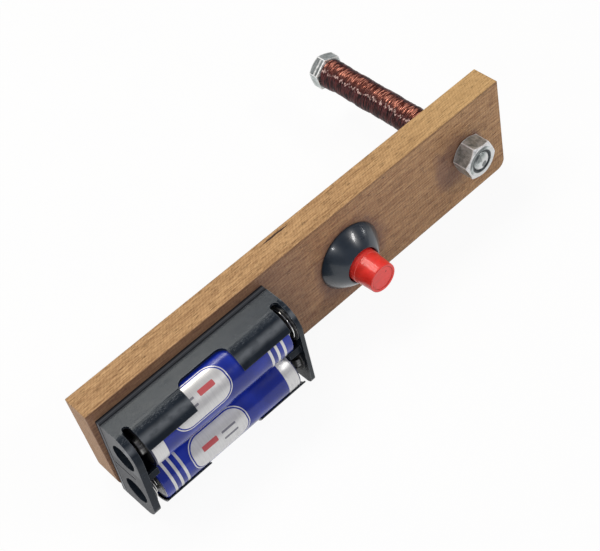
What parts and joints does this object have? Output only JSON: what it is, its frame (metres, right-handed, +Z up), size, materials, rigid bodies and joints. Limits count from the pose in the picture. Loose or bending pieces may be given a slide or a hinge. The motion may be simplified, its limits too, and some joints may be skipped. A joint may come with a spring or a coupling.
{
  "type": "electromagnet model",
  "caption": "Classroom electromagnet on a wooden bar: wire-wound bolt, domed push button and a moulded holder with round cells.",
  "frame": {"origin": "centre of the part's box on the surface that it stands on, under the bar's lower edge", "axes": "+X along the bar from the battery holder to the magnet, +Y from the front face through the bar to the bolt head, +Z up"},
  "size_m": [0.155, 0.0794, 0.0347],
  "materials": {
    "wood": "satin, plain grained softwood or plywood bar",
    "zinc_steel": "zinc plated, lightly worn",
    "copper_wire": "enamelled copper winding wire, glossy",
    "switch_black": "glossy moulding",
    "button_red": "glossy moulding",
    "holder_black": "satin moulding",
    "board_brown": "insulating board",
    "contact_brass": "bright strip",
    "contact_nickel": "nickel plated spring steel",
    "cell_metal": "nickel plated can",
    "cell_jacket": "printed film",
    "cell_seal": "moulded washer"
  },
  "bodies": {
    "board": {"wooden_bar": "wood", "magnet_bolt": "zinc_steel", "bolt_nuts": "zinc_steel", "coil_core": "copper_wire", "coil_turns": "copper_wire", "switch_collar": "switch_black", "switch_nut": "switch_black", "button_spring": "contact_nickel", "switch_terminals": "contact_brass", "switch_base": "board_brown", "battery_holder": "holder_black", "holder_screws": "zinc_steel", "series_link": "contact_nickel", "negative_terminal": "contact_nickel", "positive_terminal": "contact_nickel", "upper_cell_spring": "contact_nickel", "lower_cell_spring": "contact_nickel", "upper_cell_can": "cell_metal", "upper_cell_jacket": "cell_jacket", "upper_cell_cap": "contact_nickel", "upper_cell_seal": "cell_seal", "lower_cell_can": "cell_metal", "lower_cell_jacket": "cell_jacket", "lower_cell_cap": "contact_nickel", "lower_cell_seal": "cell_seal"},
    "button": {"push_button": "button_red", "moving_contact": "contact_brass"}
  },
  "joints": [
    {"name": "button_slide", "type": "slide", "parent": "board", "child": "button", "axis": [0, 1, 0], "range_m": [0, 0.0022], "stiffness_N_per_m": 400, "springref_m": -0.003, "deforming": ["button_spring"]}
  ]
}
